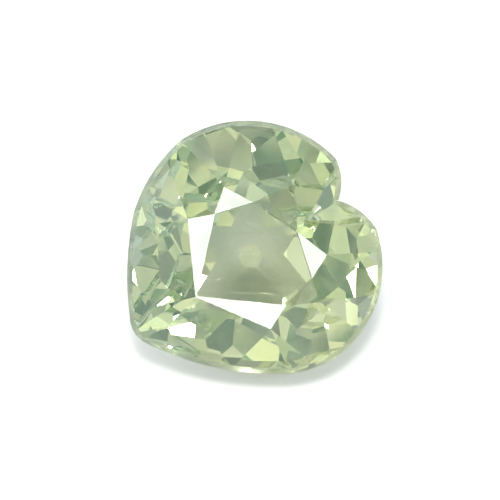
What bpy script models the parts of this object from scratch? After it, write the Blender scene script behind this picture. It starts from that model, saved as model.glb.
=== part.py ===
"""Heart cut sapphire, one loose faceted stone lying on a pavilion facet. Metres, +Z up.

The stone is drawn in its own frame and laid down at the end. In that frame the widest line of
the girdle is at height 0, +Z leaves the table, +X runs from the point of the heart to its
cleft, and the culet is under the origin. A heading is an angle about +Z from +X, and a slope
is an angle from the plane of the girdle. Facets are cut from a heart-shaped blank by planes,
the way a stone is ground on a lap.
"""

import math

import bmesh
import bpy
from mathutils import Matrix, Vector

MM = 0.001
NAME = "heart_cut_sapphire"

# Outline of the girdle in millimetres, turning left from the cleft: each station (along the
# heart, across it), and how far the arc to the next station bulges past its chord.
OUTLINE_STATIONS = (
    ((2.34, 0.00), 0.10),
    ((2.80, 0.84), 0.61),
    ((0.14, 3.06), 0.15),
    ((-1.71, 2.23), 0.10),
    ((-3.04, 0.29), 0.09),
    ((-3.04, -0.37), 0.17),
    ((-1.02, -2.48), 0.11),
    ((0.34, -2.95), 0.52),
    ((2.72, -1.00), 0.10),
)
POINTS_PER_ARC = 16

# Heights and insets in millimetres. The crown and the pavilion start inside the girdle's
# widest line, so that a narrow sloping band shows all round.
CROWN_EDGE = 0.18
CROWN_INSET = 0.12
PAVILION_EDGE = -0.16
PAVILION_INSET = 0.07
TABLE_HEIGHT = 1.13
CULET_DEPTH = 2.45
CULET_REACH = 0.25

# Table corners in millimetres, turning left from the one at the cleft.
TABLE_CORNERS = {
    "cleft": (1.17, -0.10),
    "left_front": (0.70, 0.99),
    "left_back": (-0.18, 1.23),
    "point": (-1.52, -0.10),
    "right_back": (0.07, -1.35),
    "right_front": (0.89, -1.15),
}

# Crown mains: the table corner each one starts from, and its heading in degrees.
CROWN_MAINS = {
    "cleft": ("cleft", -3.0),
    "left_front": ("left_front", 54.5),
    "left_back": ("left_back", 102.0),
    "left_flank": ("point", 143.0),
    "point": ("point", 180.0),
    "right_flank": ("point", -136.0),
    "right_back": ("right_back", -98.0),
    "right_front": ("right_front", -40.0),
}
CLEFT_MAIN_SLOPE = 28.0

# Stars: the mains on both sides of each one, and its slope in degrees.
STARS = (
    ("cleft", "left_front", 16.0),
    ("left_front", "left_back", 18.0),
    ("left_back", "left_flank", 20.0),
    ("right_flank", "right_back", 22.0),
    ("right_back", "right_front", 18.0),
    ("right_front", "cleft", 20.0),
)

# Upper girdle facets run from a star's tip, or from this height on the two edges beside the
# point's main, to the crown's edge. Their headings divide the gap between two mains.
POINT_EDGE_HEIGHT = 0.55
GIRDLE_SHARES = (0.27, 0.73)
LOBE_TOP_HEADINGS = (36.0, 14.0)

# The cleft: a groove down the crown and one up the pavilion, each from a head on a main to a
# foot, as (along the heart, height). The feet stop short of the girdle's band, which is
# thicker here than elsewhere.
CROWN_GROOVE = ((1.50, 0.957), (2.18, 0.29))
PAVILION_GROOVE = ((0.98, -2.011), (2.24, -0.25))

# Pavilion: six shallow mains about the culet, and on four of their headings an outer facet
# that meets the main at the break and runs to the pavilion's edge.
MAIN_HEADINGS = (0.0, 57.5, 122.5, 180.0, -122.5, -57.5)
MAIN_SLOPE = 27.0
OUTER_HEADINGS = (57.5, 122.5, -122.5, -57.5)
BREAK_REACH = 1.75

# Two more tiers break up the mains: a facet over the edge between two mains, as (heading, how
# far out it starts on that edge), and a pair at the outer corners of each main. The main that
# the stone rests on keeps its full width.
EDGE_FACETS = ((29.0, 0.75), (90.0, 0.80), (151.0, 0.75), (-29.0, 0.75))
EDGE_SLOPE = 38.5
PAIR_SPREAD = 17.0
PAIR_REACH = 1.42
PAIR_SLOPE = 45.0

# Steep facets that start on the pavilion's edge, as (heading, slope): one at each corner
# between two mains, and four more beside the outer facets of the two lobes. They are steeper
# beside the main that the stone rests on.
CORNER_FACETS = ((29.0, 50.0), (90.0, 50.0), (151.0, 50.0), (-151.0, 54.0), (-90.0, 54.0), (-29.0, 50.0))
LOWER_GIRDLE_FACETS = ((107.0, 54.0), (137.0, 54.0), (-137.0, 63.0), (-107.0, 63.0))

# The stone lies on the main with this heading and slope, so its table leans that way from
# level. It is steeper than the other mains, which makes it wider and the stone steadier.
RESTING_MAIN = -122.5
RESTING_SLOPE = 31.0
VIEW_HEADING = 32.5

BODY_COLOUR = (0.52, 0.72, 0.45, 1.0)
BODY_ROUGHNESS = 0.02
SAPPHIRE_IOR = 1.77
FLAT_LIMIT = math.radians(0.05)
WELD = 1e-7


def arc_points(start, end, bulge, count):
    """Points on the arc from start up to end, which lies to the right of its chord."""
    chord = end - start
    half = chord.length / 2
    radius = (half * half + bulge * bulge) / (2 * bulge)
    outward = Vector((chord.y, -chord.x)).normalized()
    centre = (start + end) / 2 - outward * (radius - bulge)
    first = math.atan2(start.y - centre.y, start.x - centre.x)
    sweep = 2 * math.asin(half / radius)
    angles = (first + sweep * step / count for step in range(count))
    return [centre + radius * Vector((math.cos(a), math.sin(a))) for a in angles]


def heart_outline():
    """The girdle's widest line as a closed run of points."""
    points = []
    for index, (place, bulge) in enumerate(OUTLINE_STATIONS):
        next_place = OUTLINE_STATIONS[(index + 1) % len(OUTLINE_STATIONS)][0]
        points += arc_points(Vector(place), Vector(next_place), bulge, POINTS_PER_ARC)
    return points


OUTLINE = heart_outline()


def direction(heading):
    """Level unit vector on a heading in degrees."""
    angle = math.radians(heading)
    return Vector((math.cos(angle), math.sin(angle)))


def reach(heading, inset):
    """How far the outline goes on a heading, less the inset."""
    return max(point.dot(direction(heading)) for point in OUTLINE) - inset


def facet(heading, slope, through, side=1):
    """Cutting plane as (normal, offset): a heading, a slope and a point on it.

    side is 1 on the crown and -1 on the pavilion.
    """
    level = direction(heading) * math.sin(math.radians(slope))
    normal = Vector((level.x, level.y, side * math.cos(math.radians(slope))))
    return normal, normal.dot(Vector(through))


def facet_to_edge(heading, start, inset, edge_height):
    """Cutting plane from a start point down, or up, to the edge of the crown or pavilion."""
    start = Vector(start)
    run = reach(heading, inset) - start.xy.dot(direction(heading))
    rise = start.z - edge_height
    slope = math.degrees(math.atan(abs(rise) / run))
    return facet(heading, slope, start, 1 if rise > 0 else -1)


def facet_through(first, second, third):
    """Cutting plane through three points, facing away from the origin."""
    first, second, third = Vector(first), Vector(second), Vector(third)
    normal = (second - first).cross(third - first).normalized()
    if normal.dot(first) < 0:
        normal.negate()
    return normal, normal.dot(first)


def meet(*planes):
    """The point where three planes cross."""
    normals = Matrix([plane[0] for plane in planes])
    return normals.inverted() @ Vector([plane[1] for plane in planes])


def crown_mains():
    """The crown mains by name, each one starting from its table corner."""
    mains = {}
    for name, (corner, heading) in CROWN_MAINS.items():
        start = (*TABLE_CORNERS[corner], TABLE_HEIGHT)
        mains[name] = facet_to_edge(heading, start, CROWN_INSET, CROWN_EDGE)
    start = (*TABLE_CORNERS["cleft"], TABLE_HEIGHT)
    mains["cleft"] = facet(CROWN_MAINS["cleft"][1], CLEFT_MAIN_SLOPE, start)
    return mains


def star_facet(first, second, slope):
    """The star between two mains, from the table edge that joins their corners."""
    start = Vector(TABLE_CORNERS[CROWN_MAINS[first][0]])
    end = Vector(TABLE_CORNERS[CROWN_MAINS[second][0]])
    heading = math.degrees(math.atan2(start.x - end.x, end.y - start.y))
    return facet(heading, slope, (*start, TABLE_HEIGHT))


def headings_between(first, second):
    """Headings of the pair of girdle facets between two mains, turning left."""
    start = CROWN_MAINS[first][1]
    gap = (CROWN_MAINS[second][1] - start) % 360
    return [start + gap * share for share in GIRDLE_SHARES]


def crown_facets():
    """Every crown facet that is cut across the whole stone."""
    mains = crown_mains()
    planes = [(Vector((0, 0, 1)), TABLE_HEIGHT)] + list(mains.values())
    tips = {}
    for first, second, slope in STARS:
        star = star_facet(first, second, slope)
        planes.append(star)
        tips[first, second] = meet(star, mains[first], mains[second])
    level = (Vector((0, 0, 1)), POINT_EDGE_HEIGHT)
    for pair in (("left_flank", "point"), ("point", "right_flank")):
        tips[pair] = meet(level, mains[pair[0]], mains[pair[1]])
    for (first, second), tip in tips.items():
        if first == "cleft":
            headings = LOBE_TOP_HEADINGS
        elif second == "cleft":
            headings = [-heading for heading in LOBE_TOP_HEADINGS]
        else:
            headings = headings_between(first, second)
        planes += [facet_to_edge(h, tip, CROWN_INSET, CROWN_EDGE) for h in headings]
    return planes


def main_slope(heading):
    """Slope of the pavilion main with this heading."""
    return RESTING_SLOPE if heading == RESTING_MAIN else MAIN_SLOPE


def main_height(heading, out):
    """Height of the pavilion main with this heading at this distance out along it."""
    return (out - CULET_REACH) * math.tan(math.radians(main_slope(heading))) - CULET_DEPTH


def pavilion_facets():
    """Every pavilion facet that is cut across the whole stone."""
    planes = [(Vector((0, 0, -1)), CULET_DEPTH)]
    for heading in MAIN_HEADINGS:
        ray = direction(heading)
        start = (*(ray * CULET_REACH), -CULET_DEPTH)
        planes.append(facet(heading, main_slope(heading), start, -1))
        if heading in OUTER_HEADINGS:
            start = (*(ray * BREAK_REACH), main_height(heading, BREAK_REACH))
            planes.append(facet_to_edge(heading, start, PAVILION_INSET, PAVILION_EDGE))
        if heading != RESTING_MAIN:
            start = (*(ray * PAIR_REACH), main_height(heading, PAIR_REACH))
            for side in (heading - PAIR_SPREAD, heading + PAIR_SPREAD):
                planes.append(facet(side, PAIR_SLOPE, start, -1))
    for heading, start_reach in EDGE_FACETS:
        gap, main = min((abs((heading - near + 180) % 360 - 180), near) for near in MAIN_HEADINGS)
        height = main_height(main, start_reach * math.cos(math.radians(gap)))
        start = (*(direction(heading) * start_reach), height)
        planes.append(facet(heading, EDGE_SLOPE, start, -1))
    for heading, slope in CORNER_FACETS + LOWER_GIRDLE_FACETS:
        ray = direction(heading) * reach(heading, PAVILION_INSET)
        planes.append(facet(heading, slope, (*ray, PAVILION_EDGE), -1))
    return planes


def cleft_facets(side):
    """The two facets of one lobe that face the cleft; side is 1 on the left lobe, -1 right."""
    cleft = Vector(OUTLINE_STATIONS[0][0])
    shoulder = Vector(OUTLINE_STATIONS[side][0])
    flank = (shoulder - cleft).normalized()
    inward = Vector((-flank.y, flank.x)) * side
    middle = OUTLINE[side * POINTS_PER_ARC // 2]
    planes = []
    for inset, (head, foot) in ((CROWN_INSET, CROWN_GROOVE), (PAVILION_INSET, PAVILION_GROOVE)):
        end = middle + inward * inset
        groove = (head[0], 0, head[1]), (foot[0], 0, foot[1])
        planes.append(facet_through(*groove, (end.x, end.y, foot[1])))
    return planes


def cut(stone, plane):
    """Grinds away all that lies beyond a plane and closes the flat."""
    normal, offset = plane
    bmesh.ops.bisect_plane(
        stone,
        geom=stone.verts[:] + stone.edges[:] + stone.faces[:],
        dist=WELD,
        plane_co=normal * offset * MM,
        plane_no=normal,
        clear_outer=True,
    )
    open_edges = [edge for edge in stone.edges if edge.is_boundary]
    bmesh.ops.holes_fill(stone, edges=open_edges)


def grow_side(blank, cap, inset, rise, height):
    """Slopes a band in from the cap's rim, and raises a straight wall from the band."""
    bmesh.ops.inset_individual(
        blank,
        faces=[cap],
        thickness=inset * MM,
        depth=rise * MM,
        use_even_offset=True,
    )
    grown = bmesh.ops.extrude_face_region(blank, geom=[cap])["geom"]
    raised = [item for item in grown if isinstance(item, bmesh.types.BMVert)]
    bmesh.ops.translate(blank, verts=raised, vec=(0, 0, height * MM))
    bmesh.ops.delete(blank, geom=[cap], context="FACES_ONLY")


def make_blank():
    """Heart-shaped prism with a sloping band above and below its widest line."""
    blank = bmesh.new()
    ring = [blank.verts.new((point.x * MM, point.y * MM, 0)) for point in OUTLINE]
    crown_cap = blank.faces.new(ring)
    crown_cap.normal_update()
    grow_side(blank, crown_cap, CROWN_INSET, CROWN_EDGE, TABLE_HEIGHT)
    rim = [edge for edge in blank.edges if edge.is_boundary]
    pavilion_cap = bmesh.ops.holes_fill(blank, edges=rim)["faces"][0]
    bmesh.ops.recalc_face_normals(blank, faces=blank.faces[:])
    grow_side(blank, pavilion_cap, PAVILION_INSET, -PAVILION_EDGE, -CULET_DEPTH)
    return blank


def sapphire_material():
    """Clear pale green material."""
    material = bpy.data.materials.new("sapphire")
    material.use_nodes = True
    shader = material.node_tree.nodes["Principled BSDF"]
    shader.inputs["Base Color"].default_value = BODY_COLOUR
    shader.inputs["Roughness"].default_value = BODY_ROUGHNESS
    shader.inputs["Metallic"].default_value = 0.0
    shader.inputs["IOR"].default_value = SAPPHIRE_IOR
    shader.inputs["Transmission Weight"].default_value = 1.0
    return material


def make_lobe(stone, side):
    """Half of the stone, split along the heart's axis, with its side of the cleft cut."""
    lobe = stone.copy()
    cut(lobe, (Vector((0, -side, 0)), 0.0))
    for plane in cleft_facets(side):
        cut(lobe, plane)
    return lobe


def join_lobes(left, right):
    """Adds the right lobe to the left one and welds them along the heart's axis."""
    mesh = bpy.data.meshes.new("right_lobe")
    right.to_mesh(mesh)
    left.from_mesh(mesh)
    bpy.data.meshes.remove(mesh)
    section = [face for face in left.faces if all(abs(v.co.y) < WELD for v in face.verts)]
    bmesh.ops.delete(left, geom=section, context="FACES_ONLY")
    bmesh.ops.remove_doubles(left, verts=left.verts[:], dist=WELD)
    bmesh.ops.dissolve_limit(
        left,
        angle_limit=FLAT_LIMIT,
        verts=left.verts[:],
        edges=left.edges[:],
    )


def make_stone():
    """The whole stone in its own frame."""
    stone = make_blank()
    for plane in crown_facets() + pavilion_facets():
        cut(stone, plane)
    left = make_lobe(stone, 1)
    right = make_lobe(stone, -1)
    stone.free()
    join_lobes(left, right)
    right.free()
    return left


def resting_place():
    """The turn and shift that lay the stone on its resting main, over the origin."""
    start = direction(RESTING_MAIN) * CULET_REACH
    offset = facet(RESTING_MAIN, RESTING_SLOPE, (*start, -CULET_DEPTH), -1)[1]
    turn = Matrix.Rotation(math.radians(VIEW_HEADING), 4, "Z")
    lean = Matrix.Rotation(math.radians(RESTING_SLOPE), 4, "X")
    return Matrix.Translation((0, 0, offset * MM)) @ lean @ turn


def main():
    """Models the stone and lays it on its resting main."""
    for old in list(bpy.data.objects):
        bpy.data.objects.remove(old, do_unlink=True)
    collection = bpy.data.collections.new(NAME)
    bpy.context.scene.collection.children.link(collection)
    mesh = bpy.data.meshes.new(NAME)
    stone = make_stone()
    stone.to_mesh(mesh)
    stone.free()
    mesh.materials.append(sapphire_material())
    result = bpy.data.objects.new(NAME, mesh)
    result.matrix_world = resting_place()
    collection.objects.link(result)


main()
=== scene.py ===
"""Looks of a loose heart cut sapphire on a white table top, in soft studio light.

Metres, +Z up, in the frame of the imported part. The stone lies on a facet of its underside,
so its table leans towards -Y, and the camera looks straight down on the table.

Three words of the gem cutter are used throughout. A heading is an angle about the table's
normal, turning left from the right of the picture. A slope is an angle from the plane of
the girdle, which is the stone's widest line. The band is the narrow rim on that line.
"""

import logging
import math
from dataclasses import dataclass, field
from enum import Enum

import bmesh
import bpy
from mathutils import Matrix, Vector


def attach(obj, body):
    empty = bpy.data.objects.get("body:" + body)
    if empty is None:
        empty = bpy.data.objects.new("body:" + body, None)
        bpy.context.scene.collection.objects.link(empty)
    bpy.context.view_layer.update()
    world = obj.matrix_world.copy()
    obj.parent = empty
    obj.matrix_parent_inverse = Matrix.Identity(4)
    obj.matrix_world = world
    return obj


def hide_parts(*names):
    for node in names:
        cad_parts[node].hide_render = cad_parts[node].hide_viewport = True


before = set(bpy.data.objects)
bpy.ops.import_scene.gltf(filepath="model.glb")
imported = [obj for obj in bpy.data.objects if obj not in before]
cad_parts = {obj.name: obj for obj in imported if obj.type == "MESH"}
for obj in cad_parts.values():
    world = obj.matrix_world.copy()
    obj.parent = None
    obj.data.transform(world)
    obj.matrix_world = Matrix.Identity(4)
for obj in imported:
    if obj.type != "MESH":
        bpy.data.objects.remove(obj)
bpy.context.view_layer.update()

log = logging.getLogger("scene")

Colour = tuple[float, float, float]
Socket = bpy.types.NodeSocket

NODE = "heart_cut_sapphire"
BODY = "root"

MM = 0.001
MICRON = 0.000001
HALF_TURN = 180.0
QUARTER_TURN = 90.0
PICTURE_SIDE = 500

# Nearly all values of a noise pattern lie between these two.
NOISE_SPAN = (0.3, 0.7)


@dataclass(frozen=True)
class Lie:
    """How the stone lies: its lean, and where its axis stands.

    Attributes:
        lean: Angle between the table and the level, in degrees.
        culet_depth: Depth of the culet under the girdle's widest line.
        culet_reach: Distance from the middle of the culet to each of its edges.
    """

    lean: float = 31.0
    culet_depth: float = 2.45 * MM
    culet_reach: float = 0.25 * MM

    def turn(self) -> Matrix:
        """Rotation from the frame of the table to the level frame."""
        return Matrix.Rotation(math.radians(self.lean), 3, "X")

    def axis(self) -> Vector:
        """Unit vector out of the table."""
        return self.turn() @ Vector((0, 0, 1))

    def centre(self) -> Vector:
        """Finds the point on the stone's axis at its widest line.

        Returns:
            The point in the level frame.
        """
        lean = math.radians(self.lean)
        rise = self.culet_depth * math.cos(lean) + self.culet_reach * math.sin(lean)
        return Vector((0, 0, rise))

    def height(self, point: Vector) -> float:
        """Height of a point over the plane of the girdle's widest line."""
        return (point - self.centre()).dot(self.axis())

    def towards(self, heading: float, tilt: float) -> Vector:
        """Direction that is tilted away from the table's normal.

        Args:
            heading: Side it is tilted to, in degrees.
            tilt: Angle from the table's normal, in degrees.

        Returns:
            The unit vector in the level frame.
        """
        turn, lean = math.radians(heading), math.radians(tilt)
        level = Vector((math.cos(turn), math.sin(turn), 0)) * math.sin(lean)
        return self.turn() @ (level + Vector((0, 0, math.cos(lean))))


LIE = Lie()


class Finish(Enum):
    """The finishes of the stone's faces, as the value of the mask on the mesh."""

    POLISHED = 0.0
    GROUND = 1.0
    FROSTED = 2.5


MASK = "ground"


@dataclass
class Nodes:
    """Small helper that adds nodes to a tree and links them.

    Attributes:
        tree: Node tree of a material or of the world.
    """

    tree: bpy.types.NodeTree

    @classmethod
    def of(cls, tree: bpy.types.NodeTree) -> "Nodes":
        """Empties a node tree and wraps it."""
        tree.nodes.clear()
        return cls(tree)

    def add(self, kind: str, **values: object) -> bpy.types.Node:
        """Adds a node and sets its own properties.

        Args:
            kind: Blender's name of the node's type.
            **values: Properties of the node, by name.

        Returns:
            The new node.
        """
        node = self.tree.nodes.new(kind)
        for name, value in values.items():
            setattr(node, name, value)
        return node

    def link(self, source: Socket, target: Socket) -> None:
        """Links an output to an input."""
        self.tree.links.new(source, target)

    def dot(self, direction: Socket, other: Vector) -> Socket:
        """Adds the dot product of a linked direction and a plain one.

        Args:
            direction: Linked direction.
            other: Plain unit vector.

        Returns:
            The product's output socket.
        """
        node = self.add("ShaderNodeVectorMath", operation="DOT_PRODUCT")
        self.link(direction, node.inputs[0])
        node.inputs[1].default_value = other
        return node.outputs["Value"]

    def noise(self, place: Socket, scale: float, detail: float, distortion: float = 0.0) -> Socket:
        """Adds a noise pattern.

        Args:
            place: Coordinates that the noise reads.
            scale: Number of features per metre of those coordinates.
            detail: Octaves of detail.
            distortion: How far the pattern is swirled.

        Returns:
            The output socket of the pattern, from 0 to 1.
        """
        node = self.add("ShaderNodeTexNoise")
        node.inputs["Scale"].default_value = scale
        node.inputs["Detail"].default_value = detail
        node.inputs["Distortion"].default_value = distortion
        self.link(place, node.inputs["Vector"])
        return node.outputs["Fac"]

    def range(self, value: Socket, low: float, high: float, start: float, end: float) -> Socket:
        """Adds a map from one range of numbers to another.

        Args:
            value: Number that is mapped.
            low: Lowest value of the source range.
            high: Highest value of the source range.
            start: Result at low.
            end: Result at high.

        Returns:
            The result's output socket.
        """
        node = self.add("ShaderNodeMapRange")
        self.link(value, node.inputs["Value"])
        for name, number in (("From Min", low), ("From Max", high), ("To Min", start), ("To Max", end)):
            node.inputs[name].default_value = number
        return node.outputs["Result"]

    def math(self, operation: str, first: Socket, second: Socket | float = 0.0) -> Socket:
        """Adds a sum on one or two numbers.

        Args:
            operation: Blender's name of the operation.
            first: First number.
            second: Second number, linked or plain.

        Returns:
            The result's output socket.
        """
        node = self.add("ShaderNodeMath", operation=operation)
        self.link(first, node.inputs[0])
        if isinstance(second, (int, float)):
            node.inputs[1].default_value = second
        else:
            self.link(second, node.inputs[1])
        return node.outputs["Value"]

    def ramp(self, value: Socket, stops: tuple[tuple[float, Colour], ...]) -> Socket:
        """Adds a colour ramp.

        Args:
            value: Number from 0 to 1 that is coloured.
            stops: Each stop's place and its colour.

        Returns:
            The colour's output socket.
        """
        node = self.add("ShaderNodeValToRGB")
        self.link(value, node.inputs["Fac"])
        elements = node.color_ramp.elements
        while len(elements) < len(stops):
            elements.new(0.5)
        for element, (place, colour) in zip(elements, stops):
            element.position = place
            element.color = (*colour, 1.0)
        return node.outputs["Color"]

    def mix(self, kind: str, share: Socket, first: Socket, second: Colour) -> Socket:
        """Adds a mix of a linked colour with a plain one.

        Args:
            kind: Blender's name of the way they mix.
            share: Share of the second colour.
            first: Linked colour.
            second: Plain colour.

        Returns:
            The colour's output socket.
        """
        node = self.add("ShaderNodeMixRGB", blend_type=kind)
        self.link(share, node.inputs["Fac"])
        self.link(first, node.inputs["Color1"])
        node.inputs["Color2"].default_value = (*second, 1.0)
        return node.outputs["Color"]

    def bump(self, height: Socket, depth: float) -> Socket:
        """Adds a bump.

        Args:
            height: Pattern of the bump, from 0 to 1.
            depth: Depth of the bump.

        Returns:
            The output socket of the bent normal.
        """
        node = self.add("ShaderNodeBump")
        node.inputs["Distance"].default_value = depth
        self.link(height, node.inputs["Height"])
        return node.outputs["Normal"]


@dataclass(frozen=True)
class SapphireFinish:
    """Clear sapphire, polished on its facets and finely ground on its band.

    Attributes:
        cool: Colour of the blue-green zones.
        middle: Colour between the zones.
        warm: Colour of the yellow-green zones.
        zone_heading: Side of the picture that the colour warms towards, in degrees.
        zone_reach: Half the width over which the colour changes.
        drift_scale: Number of wanderings of the zones over that half width.
        drift_detail: Octaves of detail of those.
        drift_swirl: How far they are swirled.
        drift_reach: How far the zones wander, as a share of that half width.
        ior: Refractive index.
        grinding: Lowest and highest roughness of the ground band.
        grain_scale: Number of grains of the ground band per metre.
        grain_detail: Octaves of detail of those.
        frost: Colour of a frosted face.
        frost_share: Share of the light that a frosted face scatters back.
        wave_scale: Number of waves per metre that the lap leaves on a facet.
        wave_detail: Octaves of detail of those.
        wave_depth: Depth of those waves.
        absorbed: Colour that is left as light goes through the stone.
        absorption: Strength of that, per metre.
    """

    cool: Colour = (0.33, 0.44, 0.38)
    middle: Colour = (0.43, 0.48, 0.345)
    warm: Colour = (0.55, 0.54, 0.28)
    zone_heading: float = -30.0
    zone_reach: float = 2.4 * MM
    drift_scale: float = 1.3
    drift_detail: float = 3.0
    drift_swirl: float = 0.6
    drift_reach: float = 0.55
    ior: float = 1.77
    grinding: tuple[float, float] = (0.12, 0.26)
    grain_scale: float = 9000.0
    grain_detail: float = 4.0
    frost: Colour = (0.96, 0.97, 0.92)
    frost_share: float = 1.0
    wave_scale: float = 450.0
    wave_detail: float = 1.0
    wave_depth: float = 14 * MICRON
    absorbed: Colour = (0.86, 0.92, 0.76)
    absorption: float = 140.0

    def zone_colour(self, nodes: Nodes, place: Socket) -> Socket:
        """Adds the colour zones: soft bands across the stone, cool to warm.

        Args:
            nodes: Material that the nodes go in.
            place: Object coordinates.

        Returns:
            The colour's output socket.
        """
        turned = nodes.add("ShaderNodeMapping", vector_type="TEXTURE")
        turned.inputs["Rotation"].default_value = (0, 0, math.radians(self.zone_heading))
        turned.inputs["Scale"].default_value = (self.zone_reach,) * 3
        nodes.link(place, turned.inputs["Vector"])
        zone = turned.outputs["Vector"]
        split = nodes.add("ShaderNodeSeparateXYZ")
        nodes.link(zone, split.inputs["Vector"])
        drift = nodes.noise(zone, self.drift_scale, self.drift_detail, self.drift_swirl)
        shift = nodes.range(drift, *NOISE_SPAN, -self.drift_reach, self.drift_reach)
        along = nodes.math("ADD", split.outputs["X"], shift)
        share = nodes.range(along, -1.0, 1.0, 0.0, 1.0)
        return nodes.ramp(share, ((0.0, self.cool), (0.5, self.middle), (1.0, self.warm)))

    def roughness(self, nodes: Nodes, place: Socket, mask: Socket) -> Socket:
        """Adds the roughness: none on the facets, grainy on the band.

        Args:
            nodes: Material that the nodes go in.
            place: Object coordinates.
            mask: Finish of the face, as the mask's value.

        Returns:
            The roughness's output socket.
        """
        grain = nodes.noise(place, self.grain_scale, self.grain_detail)
        ground = nodes.range(grain, *NOISE_SPAN, *self.grinding)
        return nodes.math("MULTIPLY", ground, mask)

    def material(self) -> bpy.types.Material:
        """Makes the material, with its inside, for the whole stone.

        Returns:
            The new material.
        """
        material = bpy.data.materials.new("sapphire")
        material.use_nodes = True
        nodes = Nodes.of(material.node_tree)
        place = nodes.add("ShaderNodeTexCoord").outputs["Object"]
        mask = nodes.add("ShaderNodeAttribute", attribute_name=MASK).outputs["Fac"]
        frosted = nodes.range(mask, Finish.GROUND.value, Finish.FROSTED.value, 0.0, self.frost_share)
        colour = nodes.mix("MIX", frosted, self.zone_colour(nodes, place), self.frost)
        waves = nodes.noise(place, self.wave_scale, self.wave_detail)
        shader = nodes.add("ShaderNodeBsdfPrincipled")
        shader.inputs["IOR"].default_value = self.ior
        nodes.link(nodes.range(frosted, 0.0, 1.0, 1.0, 0.0), shader.inputs["Transmission Weight"])
        nodes.link(colour, shader.inputs["Base Color"])
        nodes.link(self.roughness(nodes, place, mask), shader.inputs["Roughness"])
        nodes.link(nodes.bump(waves, self.wave_depth), shader.inputs["Normal"])
        inside = nodes.add("ShaderNodeVolumeAbsorption")
        inside.inputs["Color"].default_value = (*self.absorbed, 1.0)
        inside.inputs["Density"].default_value = self.absorption
        output = nodes.add("ShaderNodeOutputMaterial")
        nodes.link(shader.outputs["BSDF"], output.inputs["Surface"])
        nodes.link(inside.outputs["Volume"], output.inputs["Volume"])
        return material


@dataclass(frozen=True)
class TableTopFinish:
    """Matt white card.

    Attributes:
        colour: Colour of the card.
        roughness: Roughness of the card.
        shine: How much it mirrors; 0.5 is usual.
        grain_scale: Number of its grains per metre.
        grain_detail: Octaves of detail of those.
        grain: Depth of its grain.
    """

    colour: Colour = (0.95, 0.95, 0.95)
    roughness: float = 0.8
    shine: float = 0.1
    grain_scale: float = 6000.0
    grain_detail: float = 3.0
    grain: float = 2 * MICRON

    def material(self) -> bpy.types.Material:
        """Makes the material.

        Returns:
            The new material.
        """
        material = bpy.data.materials.new("white_card")
        material.use_nodes = True
        nodes = Nodes.of(material.node_tree)
        place = nodes.add("ShaderNodeTexCoord").outputs["Object"]
        grain = nodes.noise(place, self.grain_scale, self.grain_detail)
        shader = nodes.add("ShaderNodeBsdfPrincipled")
        shader.inputs["Base Color"].default_value = (*self.colour, 1.0)
        shader.inputs["Roughness"].default_value = self.roughness
        shader.inputs["Specular IOR Level"].default_value = self.shine
        nodes.link(nodes.bump(grain, self.grain), shader.inputs["Normal"])
        output = nodes.add("ShaderNodeOutputMaterial")
        nodes.link(shader.outputs["BSDF"], output.inputs["Surface"])
        return material


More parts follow.
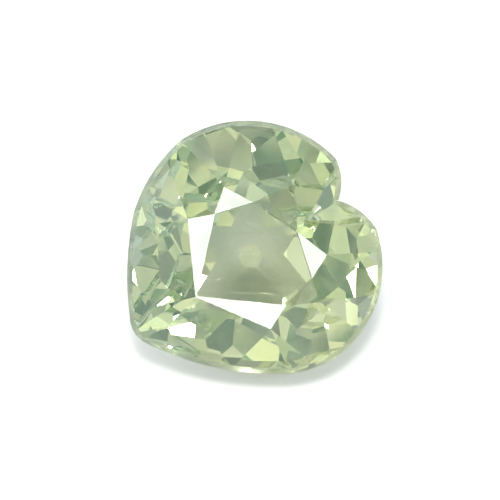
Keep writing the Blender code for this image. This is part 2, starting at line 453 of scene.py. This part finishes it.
@dataclass
class Stone:
    """The faceted stone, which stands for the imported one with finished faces.

    Attributes:
        finish: Material of the whole stone.
        merge: Distance under which two corners are one.
        flat_limit: Angle under which neighbouring triangles are one facet, in degrees.
        band_reach: How far the band's faces go over and under the widest line.
        culet_slack: How far the culet's middle may be from its depth.
        easing: How far an eased edge is taken back on both of its facets.
        eased_length: Length that all edges at the ends of an eased one are over.
        eased_bend: Angle that all facets at the ends of an eased edge meet at more than, in
            degrees.
        crown_rise: Lowest height over the widest line of an eased edge.
        lie: How the stone lies.
    """

    finish: SapphireFinish = field(default_factory=SapphireFinish)
    merge: float = 2 * MICRON
    flat_limit: float = 0.3
    band_reach: float = 0.32 * MM
    culet_slack: float = 10 * MICRON
    easing: float = 12 * MICRON
    eased_length: float = 0.07 * MM
    eased_bend: float = 7.5
    crown_rise: float = 0.2 * MM
    lie: Lie = LIE

    def merged(self, node: bpy.types.Object) -> bmesh.types.BMesh:
        """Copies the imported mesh, with its loose triangles merged into whole facets.

        Args:
            node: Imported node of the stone.

        Returns:
            The copy.
        """
        shape = bmesh.new()
        shape.from_mesh(node.data)
        bmesh.ops.remove_doubles(shape, verts=shape.verts[:], dist=self.merge)
        bmesh.ops.dissolve_limit(
            shape,
            angle_limit=math.radians(self.flat_limit),
            verts=shape.verts[:],
            edges=shape.edges[:],
        )
        return shape

    def on_band(self, face: bmesh.types.BMFace) -> bool:
        """True for a face of the narrow rim round the stone."""
        return all(abs(self.lie.height(corner.co)) < self.band_reach for corner in face.verts)

    def is_culet(self, face: bmesh.types.BMFace) -> bool:
        """True for the small flat facet at the bottom of the stone's axis."""
        depth = -self.lie.height(face.calc_center_median())
        return abs(depth - self.lie.culet_depth) < self.culet_slack

    def has_room(self, corner: bmesh.types.BMVert) -> bool:
        """Tells whether the edges at a corner can be eased without crossing each other.

        Args:
            corner: Corner of the stone.

        Returns:
            True on the crown, where only long edges between clearly bent facets meet.
        """
        if self.lie.height(corner.co) < self.crown_rise:
            return False
        bend = math.radians(self.eased_bend)
        return all(
            edge.calc_length() > self.eased_length and edge.calc_face_angle() > bend
            for edge in corner.link_edges
        )

    def ease_edges(self, shape: bmesh.types.BMesh) -> None:
        """Takes back the edges between the crown's facets by a hair.

        Args:
            shape: The stone, which is changed.
        """
        edges = [edge for edge in shape.edges if all(self.has_room(end) for end in edge.verts)]
        bmesh.ops.bevel(
            shape,
            geom=edges,
            offset=self.easing,
            segments=1,
            profile=0.5,
            affect="EDGES",
            clamp_overlap=False,
            material=-1,
        )

    def mark_finish(self, shape: bmesh.types.BMesh) -> None:
        """Grinds the band, shaded smooth, frosts the culet and polishes the other faces.

        Args:
            shape: The stone, which gets the mask.
        """
        mask = shape.faces.layers.float.new(MASK)
        for face in shape.faces:
            face.smooth = self.on_band(face)
            finish = Finish.GROUND if face.smooth else Finish.POLISHED
            if self.is_culet(face):
                finish = Finish.FROSTED
            face[mask] = finish.value
        for edge in shape.edges:
            kinds = {face[mask] for face in edge.link_faces}
            edge.smooth = kinds == {Finish.GROUND.value}

    def build(self, node: bpy.types.Object) -> bpy.types.Object:
        """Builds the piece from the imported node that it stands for.

        Args:
            node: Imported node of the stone.

        Returns:
            The finished piece.
        """
        shape = self.merged(node)
        self.ease_edges(shape)
        self.mark_finish(shape)
        mesh = bpy.data.meshes.new("faceted_stone")
        shape.to_mesh(mesh)
        shape.free()
        mesh.materials.clear()
        mesh.materials.append(self.finish.material())
        piece = bpy.data.objects.new("faceted_stone", mesh)
        bpy.context.scene.collection.objects.link(piece)
        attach(piece, BODY)
        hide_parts(node.name)
        return piece


@dataclass
class TableTop:
    """White card that the stone lies on.

    Attributes:
        radius: Radius of the card.
        sides: Number of sides of its rim.
        gap: Gap under the stone, so that the two don't share a plane.
        finish: Material of the card.
    """

    radius: float = 400 * MM
    sides: int = 96
    gap: float = 5 * MICRON
    finish: TableTopFinish = field(default_factory=TableTopFinish)

    def build(self) -> bpy.types.Object:
        """Builds the card, which isn't part of the object.

        Returns:
            The card.
        """
        shape = bmesh.new()
        bmesh.ops.create_circle(shape, cap_ends=True, segments=self.sides, radius=self.radius)
        bmesh.ops.translate(shape, verts=shape.verts[:], vec=(0, 0, -self.gap))
        mesh = bpy.data.meshes.new("table_top")
        shape.to_mesh(mesh)
        shape.free()
        mesh.materials.append(self.finish.material())
        card = bpy.data.objects.new("table_top", mesh)
        bpy.context.scene.collection.objects.link(card)
        return card


@dataclass(frozen=True)
class Lamp:
    """One flat round lamp that faces the stone.

    Attributes:
        name: Name of the lamp.
        direction: Where it stands, as seen from the stone.
        width: Angle that it takes up, as seen from the stone, in degrees.
        brightness: Brightness of its face; 1 is the white of the picture.
        distance: Distance from the stone.
    """

    name: str
    direction: Vector
    width: float
    brightness: float
    distance: float = 0.6

    def build(self) -> bpy.types.Object:
        """Adds the lamp to the scene.

        Returns:
            The lamp.
        """
        across = 2 * self.distance * math.tan(math.radians(self.width) / 2)
        area = math.pi * (across / 2) ** 2
        light = bpy.data.lights.new(self.name, "AREA")
        light.shape = "DISK"
        light.size = across
        # A flat lamp's power is its brightness times pi for each square metre.
        light.energy = self.brightness * math.pi * area
        lamp = bpy.data.objects.new(self.name, light)
        lamp.location = LIE.centre() + self.direction * self.distance
        lamp.rotation_euler = self.direction.to_track_quat("Z", "Y").to_euler()
        bpy.context.scene.collection.objects.link(lamp)
        return lamp


@dataclass(frozen=True)
class Panel:
    """One soft-edged dark or bright panel of the studio's dome.

    Attributes:
        heading: Side that it stands on, in degrees.
        tilt: Its angle from the table's normal, in degrees.
        width: Half the angle that it takes up, in degrees.
        gain: What it makes of the light from there, by colour.
        fade: How far its edge fades in and out, as a share of its width.
    """

    heading: float
    tilt: float
    width: float
    gain: Colour
    fade: float = 0.3

    def apply(self, nodes: Nodes, place: Socket, light: Socket) -> Socket:
        """Adds the panel to the light of the dome.

        Args:
            nodes: World that the nodes go in.
            place: Direction that is looked in.
            light: Light of the dome without the panel.

        Returns:
            The output socket of the light with the panel.
        """
        cosine = nodes.dot(place, LIE.towards(self.heading, self.tilt))
        edge = math.cos(math.radians(self.width * (1 + self.fade)))
        core = math.cos(math.radians(self.width * (1 - self.fade)))
        share = nodes.range(cosine, edge, core, 0.0, 1.0)
        return nodes.mix("MULTIPLY", share, light, self.gain)


@dataclass
class Studio:
    """Soft light from all round, with lamps over and beside the stone.

    Attributes:
        sky: Colour of the soft light from all round, as stops of (tilt from the
            table's normal in degrees, colour). It is dark round the camera.
        brightness: Brightness of that light.
        bright_heading: Side of the picture on which the soft light is stronger.
        bright_share: How much stronger it is there, and weaker on the other side.
        panels: The dark and bright panels of the dome. The first one is right by the
            camera, and grades the gleam of the table.
        tones: Colours of the dim, the middling and the bright patches of the dome.
        patch_scale: How many patches the dome has across a quarter turn, roughly.
        patch_detail: Octaves of detail of those.
        star_lamps: Heading and tilt in degrees of the lamp that each white star shows.
        star_width: Angle that such a lamp takes up, in degrees.
        star_brightness: Brightness of such a lamp.
        key_lamps: Heading and tilt in degrees of the lamps that throw the stone's shadow.
        key_width: Angle that such a lamp takes up, in degrees.
        key_brightness: Brightness of such a lamp.
        bounces: How often light may bounce inside the stone.
        glint_limit: Brightness that light which has bounced is held to.
    """

    sky: tuple[tuple[float, Colour], ...] = (
        (0.0, (1.18, 1.16, 1.18)),
        (2.5, (1.06, 1.04, 1.05)),
        (6.0, (0.42, 0.45, 0.44)),
        (14.0, (0.50, 0.52, 0.51)),
        (24.0, (0.80, 0.80, 0.80)),
        (60.0, (0.82, 0.82, 0.84)),
        (75.0, (1.05, 1.05, 1.20)),
        (180.0, (1.05, 1.05, 1.20)),
    )
    brightness: float = 1.35
    bright_heading: float = -120.0
    bright_share: float = 0.20
    panels: tuple[Panel, ...] = (
        Panel(270.0, 1.3, 1.4, (2.30, 2.10, 1.70)),
        Panel(43.0, 44.0, 17.0, (0.38, 0.54, 0.50)),
        Panel(85.0, 40.0, 9.0, (0.70, 0.82, 0.78)),
        Panel(120.0, 21.0, 7.0, (1.25, 1.28, 1.25)),
        Panel(188.0, 28.0, 15.0, (1.60, 1.60, 1.36)),
        Panel(235.0, 12.0, 7.0, (1.22, 1.24, 1.16)),
        Panel(260.0, 25.0, 12.0, (1.25, 1.27, 1.20)),
        Panel(270.0, 46.0, 16.0, (1.25, 1.25, 1.30)),
        Panel(320.0, 9.0, 8.0, (1.55, 1.56, 1.48)),
    )
    tones: tuple[tuple[float, Colour], ...] = (
        (0.38, (0.26, 0.40, 0.37)),
        (0.50, (0.84, 0.86, 0.88)),
        (0.62, (1.45, 1.40, 1.32)),
    )
    patch_scale: float = 6.0
    patch_detail: float = 1.0
    star_lamps: tuple[tuple[float, float], ...] = (
        (107.2, 36.0),
        (167.3, 40.0),
        (-95.7, 44.0),
        (17.6, 40.0),
    )
    star_width: float = 7.0
    star_brightness: float = 9.5
    key_lamps: tuple[tuple[float, float], ...] = ((90.0, 20.0),)
    key_width: float = 12.0
    key_brightness: float = 40.0
    bounces: int = 32
    glint_limit: float = 6.0

    def lamps(self) -> list[Lamp]:
        """Places the lamps.

        Returns:
            The key lamps, and then a small one for each white star.
        """
        key = [
            Lamp(f"key_lamp_{index}", LIE.towards(*place), self.key_width, self.key_brightness)
            for index, place in enumerate(self.key_lamps, start=1)
        ]
        small = [
            Lamp(f"star_lamp_{index}", LIE.towards(*place), self.star_width, self.star_brightness)
            for index, place in enumerate(self.star_lamps, start=1)
        ]
        return key + small

    def sky_world(self) -> bpy.types.World:
        """Makes the soft light, graded by tilt and by heading.

        Returns:
            The new world.
        """
        world = bpy.data.worlds.new("studio")
        world.use_nodes = True
        nodes = Nodes.of(world.node_tree)
        place = nodes.add("ShaderNodeTexCoord").outputs["Generated"]
        cosine = nodes.dot(place, LIE.axis())
        tilt = nodes.math("DIVIDE", nodes.math("ARCCOSINE", cosine), math.pi)
        light = nodes.ramp(tilt, tuple((angle / HALF_TURN, colour) for angle, colour in self.sky))
        for panel in self.panels:
            light = panel.apply(nodes, place, light)
        patches = nodes.noise(place, self.patch_scale, self.patch_detail)
        tones = nodes.ramp(patches, self.tones)
        mixed = nodes.add("ShaderNodeVectorMath", operation="MULTIPLY")
        nodes.link(light, mixed.inputs[0])
        nodes.link(tones, mixed.inputs[1])
        side = nodes.dot(place, LIE.towards(self.bright_heading, QUARTER_TURN))
        low, high = 1 - self.bright_share, 1 + self.bright_share
        gain = nodes.range(side, -1.0, 1.0, self.brightness * low, self.brightness * high)
        background = nodes.add("ShaderNodeBackground")
        nodes.link(mixed.outputs["Vector"], background.inputs["Color"])
        nodes.link(gain, background.inputs["Strength"])
        output = nodes.add("ShaderNodeOutputWorld")
        nodes.link(background.outputs["Background"], output.inputs["Surface"])
        return world

    def build(self) -> None:
        """Sets the soft light and adds the lamps."""
        bpy.context.scene.world = self.sky_world()
        for lamp in self.lamps():
            lamp.build()

    def set_light_paths(self) -> None:
        """Lets light bounce inside the stone as often as its facets send it round."""
        cycles = bpy.context.scene.cycles
        cycles.max_bounces = self.bounces
        cycles.glossy_bounces = self.bounces
        cycles.transmission_bounces = self.bounces
        cycles.sample_clamp_indirect = self.glint_limit
        cycles.denoising_input_passes = "RGB"
        bpy.context.scene.view_settings.view_transform = "Standard"


@dataclass
class Camera:
    """Camera that looks straight down on the table of the stone.

    Attributes:
        scale: Pixels of the picture to a millimetre on the stone.
        culet: Where the stone's axis stands in the picture, in pixels from its top left.
        distance: Distance from the stone.
        sensor: Width of the sensor in millimetres.
        near: Nearest distance that is drawn.
    """

    scale: float = 44.4
    culet: tuple[float, float] = (250.7, 256.4)
    distance: float = 0.25
    sensor: float = 36.0
    near: float = 1 * MM

    def build(self) -> bpy.types.Object:
        """Adds the camera and makes it the scene's own.

        Returns:
            The camera.
        """
        pixel = MM / self.scale
        middle = PICTURE_SIDE / 2
        aside = (middle - self.culet[0]) * pixel
        above = (self.culet[1] - middle) * pixel
        aim = LIE.centre() + LIE.turn() @ Vector((aside, above, 0))
        data = bpy.data.cameras.new("camera")
        data.sensor_width = self.sensor
        data.lens = self.sensor * self.distance / (PICTURE_SIDE * pixel)
        data.clip_start = self.near
        camera = bpy.data.objects.new("camera", data)
        camera.location = aim + LIE.axis() * self.distance
        camera.rotation_euler = (math.radians(LIE.lean), 0, 0)
        bpy.context.scene.collection.objects.link(camera)
        bpy.context.scene.camera = camera
        return camera


def main() -> None:
    """Builds the stone, the table top, the light and the camera, in that order."""
    logging.basicConfig(level=logging.INFO, format="%(message)s")
    stone = Stone().build(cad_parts[NODE])
    log.info("%s: %d faces", stone.name, len(stone.data.polygons))
    card = TableTop().build()
    log.info("%s: laid under the stone", card.name)
    studio = Studio()
    studio.build()
    studio.set_light_paths()
    camera = Camera().build()
    log.info("%s: lens of %.0f mm", camera.name, camera.data.lens)


if __name__ == "__main__":
    main()
